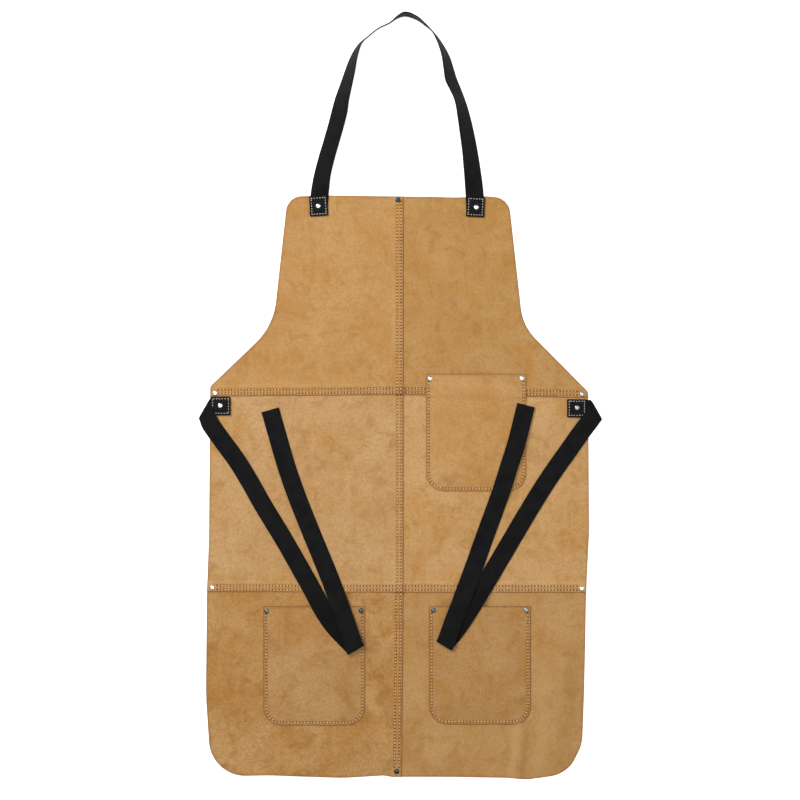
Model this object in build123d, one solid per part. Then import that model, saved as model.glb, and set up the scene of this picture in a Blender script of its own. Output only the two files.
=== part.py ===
from build123d import *

import math
import os

# A leather welding apron, laid flat with its front face up. Lengths are millimetres.
# X runs across the apron, +Y points to the neck loop, and Z = 0 is the surface that it lies on.
# The origin is the middle of the whole object's underside, close to the middle of the waist seam.

os.makedirs("parts", exist_ok=True)

# Materials
LEATHER = 1.5  # thickness of each leather panel, pocket and patch
WEBBING = 1.8  # thickness of the neck strap and the ties
STRAP = 28.0  # width of that webbing
THREAD_WIDTH = 0.9
THREAD_HEIGHT = 0.3

# Lapped seams: one panel lies over the next by LAP and climbs on to it within RAMP
LAP = 13.0
RAMP = 3.0
ROWS = (3.8, 9.6)  # the two stitch rows, measured in from the raw edge
SEAM_X = 4.6  # raw edge of the left panels over the right ones
SKIRT_SHIFT = -3.0  # how far that edge leans by the hem
UPPER_SEAM = (0.8, 3.5, -1.8)  # raw edge of the bib at its left end, middle and right end
LOWER_SEAM = (-300.5, -301.7, -302.0)  # raw edge of the waist at the same places
FAR = 330.0  # half-width that clears the whole outline
TOP, BOTTOM = 330.0, -610.0

# Pockets: left, right, mouth and bottom, and the clear depth inside
POCKETS = {
    "chest_pocket": (39.4, 194.0, 35.6, -145.3, 6.5),
    "skirt_pocket_left": (-211.7, -54.9, -323.0, -507.0, 5.5),
    "skirt_pocket_right": (44.1, 201.0, -323.0, -505.5, 5.5),
}
POCKET_CORNER = 28.0
POCKET_RIM = 11.0  # width of the rim that lies flat on the apron
POCKET_RISE = 16.0  # distance over which the front lifts to its full depth
CROWN_CORNER = 36.0  # corner radius where the rise ends, before it moves in with the rim
POCKET_ROW = 4.2  # stitch row, in from the pocket's edge
POCKET_THREAD_START = 12.0  # the row starts this far below the mouth, under the rivets
STEP_EASE = 2.0  # extra run for the chest pocket's step over the bib's lap

# Rivets
CAP_RADIUS, CAP_HEIGHT, CAP_EDGE = 4.0, 1.4, 1.1
POST_RADIUS, SOCKET_DEPTH = 1.5, 0.7
FLANGE_RADIUS, FLANGE_THICKNESS = 3.8, 0.4
HOLE_PLAY = 0.1

SEAM_RIVETS = (
    (-3.9, 304.6),
    (-6.0, -578.2),
    (-286.6, 6.0),
    (280.5, 4.2),
    (-290.8, -294.4),
    (280.2, -296.0),
)
POCKET_RIVETS = (
    (45.6, 28.4),
    (187.6, 28.8),
    (-206.6, -330.6),
    (-61.2, -329.8),
    (51.0, -329.3),
    (194.4, -329.2),
)
STRAP_RIVETS = ((-127.2, 295.0), (116.9, 293.0), (-278.5, -13.3), (272.6, -16.6))

# Seam stitching: where the rows end, and how far they stop short of each step
THREAD_GAP = 0.5
LEFT_STOP = SEAM_X - LAP - RAMP - THREAD_GAP
RIGHT_START = SEAM_X + RAMP + THREAD_GAP
MIDDLE_THREAD = (298.0, -570.0)
UPPER_THREAD = ((-280.0, LEFT_STOP), (RIGHT_START, 39.0), (194.5, 273.0))
LOWER_THREAD = ((-284.0, LEFT_STOP), (RIGHT_START, 273.0))

# Cutting tools reach past the pieces that they cut
UNDER, OVER = -1.0, 30.0  # heights below and above every layer
MARGIN = 60.0  # sideways

# Outline of the whole apron, clockwise: x, y and corner radius
OUTLINE = (
    (-174.5, 310.0, 25),
    (-110.0, 311.5, 300),
    (40.0, 309.5, 900),
    (88.0, 308.4, 300),
    (132.0, 310.4, 60),
    (167.0, 307.0, 26),
    (189.0, 110.0, 80),
    (290.0, 8.0, 12),
    (291.4, -205.0, 300),
    (286.8, -300.0, 900),
    (283.8, -450.0, 900),
    (280.6, -537.0, 60),
    (262.0, -573.0, 45),
    (240.0, -584.0, 45),
    (196.0, -591.0, 50),
    (172.0, -588.6, 150),
    (85.0, -587.0, 900),
    (-15.0, -586.9, 40),
    (-26.0, -584.8, 20),
    (-90.0, -588.8, 300),
    (-200.0, -584.6, 500),
    (-292.6, -586.0, 56),
    (-300.8, -460.0, 500),
    (-299.0, -300.0, 900),
    (-296.0, -215.0, 500),
    (-294.0, 16.5, 9),
    (-196.5, 110.0, 105),
)

# Patches: middle, width, length and turn in degrees
PATCH_CORNER = 1.0
PATCH_INSET = 3.0  # box stitching, in from the patch's edge
PATCHES = {
    "neck_patch_left": (-126.5, 295.0, STRAP, 31.0, 3.5),
    "neck_patch_right": (115.8, 293.6, STRAP, 31.0, -3.2),
    "tie_patch_left": (-277.9, -13.9, 31.0, 28.5, 0.0),
    "tie_patch_right": (272.2, -17.4, 30.0, 28.0, 0.0),
}

# Neck loop: middle of the webbing, and its roll from flat (0) to standing on edge (90)
HINGE_Y = 318.5
GAP = 0.3  # between pieces that move past each other
LOOP_SETTLE = 60.0  # distance over which the loop comes down off the bib
LOOP = (
    (-124.6, HINGE_Y + GAP, 0),
    (-121.6, 340.0, 4),
    (-114.5, 367.5, 12),
    (-106.2, 395.5, 18),
    (-97.6, 426.0, 22),
    (-93.8, 441.0, 26),
    (-90.6, 457.0, 34),
    (-86.2, 472.8, 43),
    (-81.6, 488.0, 49),
    (-77.6, 502.7, 55),
    (-73.7, 517.1, 61),
    (-68.7, 531.3, 69),
    (-61.2, 545.1, 78),
    (-49.6, 555.4, 82),
    (-34.3, 567.0, 84),
    (-15.5, 577.0, 86),
    (5.0, 588.2, 92),
    (25.2, 583.0, 92),
    (37.4, 574.0, 88),
    (48.6, 563.0, 83),
    (62.2, 541.9, 73),
    (69.8, 523.5, 62),
    (74.4, 504.5, 54),
    (78.2, 489.0, 49),
    (84.6, 474.0, 51),
    (90.1, 461.0, 52),
    (94.1, 448.0, 49),
    (97.0, 434.5, 44),
    (102.6, 405.0, 34),
    (107.7, 374.0, 22),
    (111.3, 343.0, 6),
    (113.5, HINGE_Y + GAP, 0),
)

# Ties: the end under its patch, the fold line beside it, the loop line at the far end, then the
# middle of the webbing as x, y and height of its underside, for the run and for the free tail
FOLD_CLIMB = 3.4  # distance along the run over which it climbs on to the patch
TAIL_DROOP = 2.0  # the right tail's free end sinks past the chest pocket's side
OVER_STRAP = LEATHER + WEBBING + GAP
OVER_PATCH = 2 * LEATHER + WEBBING + 2 * GAP
OVER_SEAM = 2 * LEATHER + 2 * GAP
OVER_SKIRT_POCKET = 2 * LEATHER + 5.5 + GAP
OVER_CHEST_POCKET = 2 * LEATHER + 6.5 + GAP
OVER_RUN = OVER_SKIRT_POCKET + WEBBING + GAP
ON_LEATHER = LEATHER + 2 * GAP
TIES = {
    "tie_left": {
        "patch_side": -263.5,
        "end_top": -0.3,
        "fold_height": OVER_PATCH,
        "fold": ((-292.7, -0.3), (-311.3, -33.2)),
        "loop": ((-55.7, -383.3), (-80.9, -397.8)),
        "run": (
            (-299.0, -30.2, OVER_PATCH),
            (-284.5, -53.3, OVER_PATCH),
            (-244.3, -111.4, ON_LEATHER),
            (-139.0, -289.0, OVER_SEAM),
            (-132.5, -300.5, OVER_SEAM),
            (-123.6, -313.5, OVER_SKIRT_POCKET),
        ),
        "tail": (
            (-107.3, -281.8, OVER_RUN),
            (-129.0, -229.0, ON_LEATHER),
            (-157.8, -159.7, ON_LEATHER),
            (-201.4, -19.8, ON_LEATHER),
        ),
    },
    "tie_right": {
        "patch_side": 262.0,
        "end_top": -3.5,
        "fold_height": OVER_STRAP,
        "fold": ((311.3, -34.6), (293.2, -3.7)),
        "loop": ((78.8, -391.1), (54.9, -376.6)),
        "run": (
            (295.6, -31.5, OVER_PATCH),
            (280.4, -52.6, OVER_PATCH),
            (231.8, -120.8, ON_LEATHER),
            (131.5, -288.0, OVER_SEAM),
            (124.0, -300.0, OVER_SEAM),
            (115.0, -313.5, OVER_SKIRT_POCKET),
        ),
        "tail": (
            (112.0, -266.0, OVER_RUN),
            (154.4, -152.0, OVER_CHEST_POCKET),
            (181.0, -61.0, OVER_CHEST_POCKET),
            (193.8, -12.5, OVER_CHEST_POCKET - TAIL_DROOP),
        ),
    },
}


# ---------------------------------------------------------------- helpers


def write(name, shape):
    """One STEP file for one sub-part."""
    export_step(shape, f"parts/{name}.step")


def polygon(*points):
    """A flat face with straight sides."""
    return Face(Wire.make_polygon([Vector(*p) for p in points], close=True))


def skin(loops):
    """A solid between a row of cross-sections that have the same number of corners. The second half
    of each section mirrors the first, and its sides are split along the matching diagonals, so that
    a thin twisted sheet keeps its thickness."""
    faces = [polygon(*reversed(loops[0])), polygon(*loops[-1])]
    for near, far in zip(loops, loops[1:]):
        for i in range(len(near)):
            j = (i + 1) % len(near)
            if i < len(near) // 2:
                faces.append(polygon(near[i], near[j], far[j]))
                faces.append(polygon(near[i], far[j], far[i]))
            else:
                faces.append(polygon(near[i], near[j], far[i]))
                faces.append(polygon(near[j], far[j], far[i]))
    solid = Solid(Shell(faces))
    return solid if solid.volume > 0 else Solid(Shell([-f for f in faces]))


def prism(face, low, high):
    """A flat face made solid between two heights."""
    return extrude(Pos(0, 0, low) * face, high - low)


def column(x, y, radius, low, high):
    """A round bar standing at x, y."""
    return prism(Pos(x, y) * Circle(radius), low, high)


def bar(start, end, low, width=THREAD_WIDTH, height=THREAD_HEIGHT):
    """A straight flat bar between two points."""
    (x0, y0), (x1, y1) = start, end
    length = math.hypot(x1 - x0, y1 - y0)
    turn = math.degrees(math.atan2(y1 - y0, x1 - x0))
    face = Pos((x0 + x1) / 2, (y0 + y1) / 2) * Rot(0, 0, turn) * Rectangle(length, width)
    return prism(face, low, low + height)


def bend(values, x):
    """A line's y at x, from its values at the left end, across the middle lap and at the right end."""
    left, middle, right = values
    if x <= -LAP:
        return left + (middle - left) * (x + FAR) / (FAR - LAP)
    if x <= LAP:
        return middle
    return middle + (right - middle) * (x - LAP) / (FAR - LAP)


def lean(y):
    """Sideways lean of the middle seam, which is upright down to the lower seam."""
    start = min(LOWER_SEAM)
    return 0.0 if y >= start else SKIRT_SHIFT * (start - y) / (start - BOTTOM)


# ---------------------------------------------------------------- panels

outline_face = make_face(
    FilletPolyline(*[(x, y) for x, y, _ in OUTLINE], radius=[r for _, _, r in OUTLINE], close=True)
)
outline_prism = prism(outline_face, UNDER, OVER)


def seam_line(values, offset):
    """A line beside a cross seam, as y for a given x."""
    return lambda x: bend(values, x) + offset


def panel(side, lines, laps):
    """One leather panel. lines run across it from its lower to its upper edge, and laps says
    which of them lie where it climbs over the tier below."""
    hidden = SEAM_X - LAP
    columns = (hidden, SEAM_X, SEAM_X + RAMP, FAR)
    if side == "left":
        columns = (-FAR, hidden - RAMP, hidden, SEAM_X)
    loops = []
    for x in columns:
        lower, upper = [], []
        for line, lapped in zip(lines, laps):
            doubled = x >= hidden if side == "left" else x <= SEAM_X
            if side == "left":
                layers = (3 if doubled else 1) if lapped else (1 if doubled else 0)
            else:
                layers = (2 if doubled else 1) if lapped else 0
            y = line(x)
            place = x + lean(y)
            lower.append((place, y, layers * LEATHER))
            upper.append((place, y, (layers + 1) * LEATHER))
        loops.append(lower + upper[::-1])
    return skin(loops) & outline_prism


def level(y):
    """A straight line across the apron."""
    return lambda x: y


BIB_LINES = (
    seam_line(UPPER_SEAM, 0.0),
    seam_line(UPPER_SEAM, LAP),
    seam_line(UPPER_SEAM, LAP + RAMP),
    level(TOP),
)
WAIST_LINES = (
    seam_line(LOWER_SEAM, 0.0),
    seam_line(LOWER_SEAM, LAP),
    seam_line(LOWER_SEAM, LAP + RAMP),
    seam_line(UPPER_SEAM, LAP),
)
SKIRT_LINES = (level(BOTTOM), seam_line(LOWER_SEAM, LAP))

panels = {}
for side in ("left", "right"):
    panels[f"bib_panel_{side}"] = panel(side, BIB_LINES, (True, True, False, False))
    panels[f"waist_panel_{side}"] = panel(side, WAIST_LINES, (True, True, False, False))
    panels[f"skirt_panel_{side}"] = panel(side, SKIRT_LINES, (False, False))


# ---------------------------------------------------------------- pockets


def rounded(left, right, mouth, bottom, inset, radius):
    """A pocket's outline moved in by inset, with square top corners well above its mouth."""
    above = mouth + MARGIN
    width, height = right - left - 2 * inset, above - bottom - inset
    face = Pos((left + right) / 2, above - height / 2) * Rectangle(width, height)
    low = face.vertices().sort_by(Axis.Y)[:2]
    return fillet(low, radius - inset)


def pocket_floor(name):
    """Side view of the leather that a pocket's rim lies on. The chest pocket's one steps over the
    bib's lap."""
    left, right, mouth, bottom, _ = POCKETS[name]
    ends = (bottom - MARGIN, LEATHER), (mouth + MARGIN, LEATHER)
    if name != "chest_pocket":
        return ends
    seam = bend(UPPER_SEAM, (left + right) / 2)
    step = (
        (seam - RAMP - STEP_EASE, LEATHER),
        (seam - STEP_EASE, 2 * LEATHER),
        (seam + LAP + STEP_EASE, 2 * LEATHER),
        (seam + LAP + RAMP + 2 * STEP_EASE, LEATHER),
    )
    return (ends[0], *step, ends[1])


def rim_sheet(profile, left, right, lift, thickness):
    """A sheet of constant thickness over a side view given as y and z."""
    low = [(left, y, z + lift) for y, z in profile]
    high = [(left, y, z + lift + thickness) for y, z in reversed(profile)]
    return extrude(polygon(*low, *high), amount=right - left, dir=(1, 0, 0))


def below(name, start):
    """A block that holds everything more than start below a pocket's mouth."""
    left, right, mouth, bottom, _ = POCKETS[name]
    top, low = mouth - start, bottom - MARGIN
    face = Pos((left + right) / 2, (top + low) / 2) * Rectangle(right - left + 2 * MARGIN, top - low)
    return prism(face, UNDER, OVER)


def pocket(name):
    """A pocket front: a flat rim on three sides and a raised middle that is open at the mouth."""
    left, right, mouth, bottom, depth = POCKETS[name]
    edge = rounded(left, right, mouth, bottom, 0.0, POCKET_CORNER)
    rim = rim_sheet(pocket_floor(name), left, right, 0.0, LEATHER) & prism(edge, UNDER, OVER)
    foot = rounded(left, right, mouth, bottom, POCKET_RIM, POCKET_CORNER)
    crown = rounded(left, right, mouth, bottom, POCKET_RIM + POCKET_RISE, CROWN_CORNER)
    hollow = loft([Pos(0, 0, LEATHER) * foot, Pos(0, 0, LEATHER + depth) * crown], ruled=True)
    front = Pos(0, 0, LEATHER) * hollow
    clear = hollow + prism(foot, UNDER, LEATHER)
    return (rim + front - clear) & below(name, 0.0)


def pocket_thread(name):
    """The single row of stitching round a pocket's rim."""
    left, right, mouth, bottom, _ = POCKETS[name]
    outer = rounded(left, right, mouth, bottom, POCKET_ROW - THREAD_WIDTH / 2, POCKET_CORNER)
    inner = rounded(left, right, mouth, bottom, POCKET_ROW + THREAD_WIDTH / 2, POCKET_CORNER)
    ring = prism(outer, UNDER, OVER) - prism(inner, UNDER, OVER)
    row = ring & below(name, POCKET_THREAD_START)
    return row & rim_sheet(pocket_floor(name), left, right, LEATHER, THREAD_HEIGHT)


pockets = {name: pocket(name) for name in POCKETS}


# ---------------------------------------------------------------- straps


def patch_face(name, inset):
    """A patch's outline moved in by inset."""
    x, y, width, length, turn = PATCHES[name]
    face = RectangleRounded(width - 2 * inset, length - 2 * inset, PATCH_CORNER)
    return Pos(x, y) * Rot(0, 0, turn) * face


def patch_thread(name):
    """The square of stitching inside a patch's edge."""
    top = 2 * LEATHER + WEBBING
    ring = patch_face(name, PATCH_INSET - THREAD_WIDTH / 2) - patch_face(name, PATCH_INSET + THREAD_WIDTH / 2)
    return prism(ring, top, top + THREAD_HEIGHT)


def turned(x, y, degrees, dx, dy):
    """The point dx, dy from x, y, in a frame turned by degrees."""
    a = math.radians(degrees)
    return (x + dx * math.cos(a) - dy * math.sin(a), y + dx * math.sin(a) + dy * math.cos(a))


def neck_end(name, loop_point):
    """The end of the neck strap, from under its patch to the line where the loop lifts."""
    x, y, _, length, turn = PATCHES[name]
    half = STRAP / 2
    lower = [turned(x, y, turn, side * half, GAP - length / 2) for side in (-1, 1)]
    upper = [(loop_point[0] + side * half, HINGE_Y) for side in (1, -1)]
    return prism(make_face(Polyline(*lower, *upper, close=True)), LEATHER, LEATHER + WEBBING)


def tie_end(tie):
    """The end of a tie, from under its patch out to the fold line."""
    upper, lower = sorted(tie["fold"], key=lambda p: -p[1])
    inner = tie["patch_side"]
    top = tie["end_top"]
    corners = ((inner, top), upper, lower, (inner, top - STRAP))
    return prism(make_face(Polyline(*corners, close=True)), LEATHER, LEATHER + WEBBING)


def moved(line, way, distance):
    """A line of two points moved by a distance."""
    return [(x + way[0] * distance, y + way[1] * distance) for x, y in line]


def ribbon(first_lines, route, last_line=None):
    """Flat webbing. first_lines are slanted cross-sections, each with its height, then route gives
    the middle of square ones as x, y and underside height, and last_line is a slanted one again."""
    lines = list(first_lines)
    middle = [((p[0] + q[0]) / 2, (p[1] + q[1]) / 2) for p, q in (lines[0][0], last_line or lines[0][0])]
    places = [middle[0], *[(x, y) for x, y, _ in route]] + ([middle[1]] if last_line else [])
    for i, (x, y, z) in enumerate(route, start=1):
        before, after = places[i - 1], places[min(i + 1, len(places) - 1)]
        way = math.atan2(after[1] - before[1], after[0] - before[0])
        dx, dy = -math.sin(way) * STRAP / 2, math.cos(way) * STRAP / 2
        lines.append((((x + dx, y + dy), (x - dx, y - dy)), z))
    if last_line:
        lines.append((last_line, route[-1][2]))
    loops = []
    for (one, two), z in lines:
        loops.append([(*one, z), (*two, z), (*two, z + WEBBING), (*one, z + WEBBING)])
    return skin(loops)


def tie_run(tie):
    """The run of a tie, from its fold at the patch to the loop line."""
    fold, (x, y, _) = tie["fold"], tie["run"][0]
    mid_x, mid_y = (fold[0][0] + fold[1][0]) / 2, (fold[0][1] + fold[1][1]) / 2
    length = math.hypot(x - mid_x, y - mid_y)
    way = ((x - mid_x) / length, (y - mid_y) / length)
    starts = [(fold, tie["fold_height"]), (moved(fold, way, FOLD_CLIMB), OVER_PATCH)]
    return ribbon(starts, tie["run"], tie["loop"])


def tie_tail(tie):
    """The free tail of a tie, which lies back over the run."""
    return ribbon([(tie["loop"][::-1], OVER_RUN)], tie["tail"])


def neck_loop():
    """The loop of webbing: flat beside the bib, then rolling on to its outer edge."""
    loops = []
    for i, (x, y, roll) in enumerate(LOOP):
        before = LOOP[max(i - 1, 0)]
        after = LOOP[min(i + 1, len(LOOP) - 1)]
        way = math.atan2(after[1] - before[1], after[0] - before[0])
        if i in (0, len(LOOP) - 1):
            way = math.pi / 2 if i == 0 else -math.pi / 2
        side = Vector(math.sin(way), -math.cos(way), 0)  # points inside the loop
        a = math.radians(roll)
        across = side * math.cos(a) + Vector(0, 0, math.sin(a))
        face = side * -math.sin(a) + Vector(0, 0, math.cos(a))
        rest = STRAP / 2 * math.sin(a) + WEBBING / 2 * abs(math.cos(a))
        at_bib = max(0.0, 1.0 - (y - HINGE_Y) / LOOP_SETTLE) * LEATHER
        middle = Vector(x, y, rest + at_bib)
        reach, rise = across * (STRAP / 2), face * (WEBBING / 2)
        corners = (middle - reach - rise, middle + reach - rise, middle + reach + rise, middle - reach + rise)
        loops.append([tuple(corner) for corner in corners])
    return skin(loops)


# ---------------------------------------------------------------- rivets


def rivet_top(x, y, group):
    """Height of the surface that a rivet's cap sits on."""
    return 2 * LEATHER + WEBBING if group == "strap" else 2 * LEATHER


def rivet_cap(x, y, top):
    """A domed cap with a blind socket for the post."""
    dome = column(x, y, CAP_RADIUS, top, top + CAP_HEIGHT)
    dome = fillet(dome.edges().sort_by(Axis.Z)[-1], CAP_EDGE)
    return dome - column(x, y, POST_RADIUS, top, top + SOCKET_DEPTH)


def rivet_post(x, y, top):
    """The post, with its flange sunk flush in the underside."""
    flange = column(x, y, FLANGE_RADIUS, 0.0, FLANGE_THICKNESS)
    return flange + column(x, y, POST_RADIUS, 0.0, top + SOCKET_DEPTH)


RIVET_GROUPS = {"seam": SEAM_RIVETS, "pocket": POCKET_RIVETS, "strap": STRAP_RIVETS}
all_rivets = [(x, y, group) for group, places in RIVET_GROUPS.items() for x, y in places]


def pierced(shape, inside):
    """A piece with the holes of those rivets that pass through it."""
    for x, y, _ in all_rivets:
        if inside(x, y):
            shape = shape - column(x, y, POST_RADIUS + HOLE_PLAY, UNDER, OVER)
    return shape


def countersunk(shape):
    """A panel with a shallow seat under each rivet whose flange lies in it."""
    box = shape.bounding_box()
    for x, y, _ in all_rivets:
        if box.min.X < x < box.max.X and box.min.Y < y < box.max.Y:
            shape = shape - column(x, y, FLANGE_RADIUS + HOLE_PLAY, UNDER, FLANGE_THICKNESS)
            shape = shape - column(x, y, POST_RADIUS + HOLE_PLAY, UNDER, OVER)
    return shape


# ---------------------------------------------------------------- build every sub-part

for name, shape in panels.items():
    write(name, countersunk(shape))

for name, shape in pockets.items():
    left, right, mouth, bottom, _ = POCKETS[name]
    write(name, pierced(shape, lambda x, y: left < x < right and bottom < y < mouth))
    write(f"{name}_thread", pocket_thread(name))

for name, (px, py, width, length, _) in PATCHES.items():
    whole = prism(patch_face(name, 0.0), LEATHER + WEBBING, 2 * LEATHER + WEBBING)
    write(name, pierced(whole, lambda x, y: abs(x - px) < width / 2 and abs(y - py) < length / 2))

for side, loop_point in (("left", LOOP[0]), ("right", LOOP[-1])):
    end = neck_end(f"neck_patch_{side}", loop_point)
    write(f"neck_strap_end_{side}", pierced(end, lambda x, y: (x, y) in STRAP_RIVETS and y > 0))
write("neck_strap_loop", neck_loop())

for name, tie in TIES.items():
    write(f"{name}_end", pierced(tie_end(tie), lambda x, y: (x, y) in STRAP_RIVETS and y < 0))
    write(f"{name}_run", tie_run(tie))
    write(f"{name}_tail", tie_tail(tie))

for group, places in RIVET_GROUPS.items():
    write(f"{group}_rivet_caps", Compound([rivet_cap(x, y, rivet_top(x, y, group)) for x, y in places]))
    write(f"{group}_rivet_posts", Compound([rivet_post(x, y, rivet_top(x, y, group)) for x, y in places]))

write("neck_patch_threads", Compound([patch_thread(f"neck_patch_{side}") for side in ("left", "right")]))
write("tie_patch_threads", Compound([patch_thread(f"tie_patch_{side}") for side in ("left", "right")]))


def middle_row(inset):
    """One row of the middle seam, as straight bars on each flat stretch, with its ends' heights."""
    x = SEAM_X - inset
    upper, lower = UPPER_SEAM[1], LOWER_SEAM[1]
    start, end = MIDDLE_THREAD
    stretches = (
        (start, upper + LAP + RAMP, 2),
        (upper + LAP, upper, 4),
        (upper - THREAD_GAP, lower + LAP + RAMP, 2),
        (lower + LAP, lower, 4),
        (lower - THREAD_GAP, end, 2),
    )
    return [bar((x + lean(a), a), (x + lean(b), b), layers * LEATHER) for a, b, layers in stretches]


def cross_row(values, inset, stretches):
    """One row of a cross seam, either side of the middle seam and of a pocket."""
    pieces = []
    for a, b in stretches:
        pieces.append(bar((a, bend(values, a) + inset), (b, bend(values, b) + inset), 2 * LEATHER))
    return pieces


middle = [piece for inset in ROWS for piece in middle_row(inset)]
upper = [piece for inset in ROWS for piece in cross_row(UPPER_SEAM, inset, UPPER_THREAD)]
lower = [piece for inset in ROWS for piece in cross_row(LOWER_SEAM, inset, LOWER_THREAD)]
write("middle_seam_thread", Compound(middle))
write("upper_seam_thread", Compound(upper))
write("lower_seam_thread", Compound(lower))
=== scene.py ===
import math

import bpy
import numpy as np
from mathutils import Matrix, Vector, geometry
from mathutils.bvhtree import BVHTree


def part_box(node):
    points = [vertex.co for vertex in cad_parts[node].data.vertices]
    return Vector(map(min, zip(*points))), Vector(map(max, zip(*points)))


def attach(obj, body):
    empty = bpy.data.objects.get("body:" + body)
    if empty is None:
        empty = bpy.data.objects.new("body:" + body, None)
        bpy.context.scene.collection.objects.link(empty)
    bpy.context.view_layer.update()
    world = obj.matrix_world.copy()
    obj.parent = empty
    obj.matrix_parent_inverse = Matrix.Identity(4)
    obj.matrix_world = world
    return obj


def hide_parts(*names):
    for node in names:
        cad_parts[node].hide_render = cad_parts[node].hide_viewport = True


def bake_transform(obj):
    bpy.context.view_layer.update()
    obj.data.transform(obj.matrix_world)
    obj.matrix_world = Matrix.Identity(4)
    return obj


# A leather welding apron, laid flat with its front face up. Metres throughout. X runs across the
# apron, +Y points to the neck loop, and Z = 0 is the floor under it.

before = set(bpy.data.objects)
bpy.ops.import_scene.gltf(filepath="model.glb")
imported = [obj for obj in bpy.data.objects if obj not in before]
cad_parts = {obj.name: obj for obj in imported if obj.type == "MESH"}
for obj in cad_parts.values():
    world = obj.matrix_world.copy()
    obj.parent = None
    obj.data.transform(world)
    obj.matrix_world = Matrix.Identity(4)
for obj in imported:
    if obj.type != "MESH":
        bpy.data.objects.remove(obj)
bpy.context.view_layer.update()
MM = 0.001
rng = np.random.default_rng(20)

# -------- sizes from the frame

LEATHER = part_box("skirt_panel_right")[1].z
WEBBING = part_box("tie_left_end")[1].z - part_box("tie_left_end")[0].z
RAW_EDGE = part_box("bib_panel_left")[1].x  # raw edge of the left panels over the right ones
LAP = RAW_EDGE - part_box("bib_panel_right")[0].x
HEM_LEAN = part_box("skirt_panel_right")[0].x + LAP - RAW_EDGE  # how far that edge leans by the hem
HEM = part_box("skirt_panel_right")[0].y
WAIST_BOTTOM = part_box("waist_panel_left")[0].y

# -------- sizes that only show

RAMP = 5 * MM  # a panel comes down off the layer below it over this distance
FINE, COARSE = 1.5 * MM, 3  # mesh spacing beside seams, and how many times wider it is elsewhere
EDGE_STEP = 2 * MM  # spacing of the points along a cut edge
EDGE_ROUND, EDGE_RING, INNER_RING = 0.35 * MM, 0.4 * MM, 1.1 * MM  # rounding, and mesh rings inside it
EDGE_CLEAR, HOLE_CLEAR = 1.9 * MM, 0.6 * MM  # other mesh points keep this far off the edge and holes
GROOVE_DEPTH, GROOVE_WIDTH = 0.4 * MM, 1.7 * MM
HOLE_RADIUS, HOLE_DEPTH = 0.85 * MM, 1.0 * MM
PITCH = 5 * MM  # stitch length on the seams and pockets
BIB_ROWS = (3.8 * MM, 9.6 * MM)  # the two stitch rows, in from the raw edge
WAIST_ROWS = (3.4 * MM, 9.4 * MM)
SKIRT_ROWS = (4.2 * MM, 11.2 * MM)
POCKET_CORNER = 28 * MM
POCKET_ROW = 4.2 * MM
POCKET_PUFF = 3.6 * MM  # how far a pocket's front stands off the apron
PUFF_RUN = 16 * MM  # and the distance over which it rises
MOUTH_GAPE, MOUTH_DEPTH = 0.45, 30 * MM  # it stands off by this share more at its mouth
STRAP = 28 * MM
RIB_HEIGHT, RIBS = 0.045 * MM, 4  # faint ribs along the webbing
CLEAR = 0.25 * MM  # air between a strap and what it lies on
SHADED_LENGTH = 0.16  # the last stretch of a tie's run, in the shade of its tail


def smooth(t):
    """0 below 0, 1 above 1, and a soft step in between."""
    t = np.clip(t, 0, 1)
    return t * t * (3 - 2 * t)


def unit(ways):
    """The same directions, with length 1."""
    return ways / np.linalg.norm(ways, axis=-1, keepdims=True)


def square_to(ways):
    """Directions in x and y, each turned a quarter to its left."""
    return np.stack([-ways[..., 1], ways[..., 0]], axis=-1)


def travelled(line):
    """How far along a line each of its points is."""
    return np.r_[0, np.cumsum(np.linalg.norm(np.diff(line, axis=0), axis=1))]


# -------- outlines


def outline(node):
    """The outline of a flat CAD node from above, anticlockwise, as rows of x, y."""
    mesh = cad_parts[node].data
    key = [(round(v.co.x, 6), round(v.co.y, 6)) for v in mesh.vertices]
    edges = set()
    for face in mesh.polygons:
        if face.normal.z > 0.2:
            corners = [key[i] for i in face.vertices]
            for edge in zip(corners, corners[1:] + corners[:1]):
                if edge[::-1] in edges:
                    edges.remove(edge[::-1])
                else:
                    edges.add(edge)
    follows = dict(edges)
    loops = []
    while follows:
        start, at = follows.popitem()
        loop = [start]
        while at in follows:
            loop.append(at)
            at = follows.pop(at)
        loops.append(np.array(loop))
    return max(loops, key=area)


def area(loop):
    """Signed area of a closed outline."""
    x, y = loop.T
    return 0.5 * float(x @ np.roll(y, -1) - y @ np.roll(x, -1))


def spaced(line, step):
    """A line's points, evenly spaced."""
    lengths = travelled(line)
    at = np.linspace(0, lengths[-1], max(2, round(lengths[-1] / step) + 1))
    return np.column_stack([np.interp(at, lengths, column) for column in line.T])


def respaced(loop, step, sharp=0.6):
    """A closed outline's points, evenly spaced between its sharp corners."""
    ahead, behind = np.roll(loop, -1, 0) - loop, loop - np.roll(loop, 1, 0)
    turn = np.arctan2((square_to(behind) * ahead).sum(1), (behind * ahead).sum(1))
    corners = np.flatnonzero(abs(turn) > sharp)
    if not len(corners):
        corners = np.array([0])
    pieces = []
    for a, b in zip(corners, np.r_[corners[1:], corners[0] + len(loop)]):
        run = loop[np.arange(a, b + 1) % len(loop)]
        pieces.append(spaced(run, step)[:-1])
    return np.concatenate(pieces)


def inset(loop, distance):
    """A closed outline moved inwards."""
    ahead, behind = np.roll(loop, -1, 0) - loop, loop - np.roll(loop, 1, 0)
    return loop + distance * square_to(unit(unit(ahead) + unit(behind)))


def inside(loop, points):
    """Which points lie inside a closed outline."""
    x, y = points.T
    result = np.zeros(len(points), bool)
    for (x0, y0), (x1, y1) in zip(loop, np.roll(loop, -1, 0)):
        if y0 != y1:
            crosses = (y0 > y) != (y1 > y)
            result ^= crosses & (x < x0 + (x1 - x0) * (y - y0) / (y1 - y0))
    return result


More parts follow.
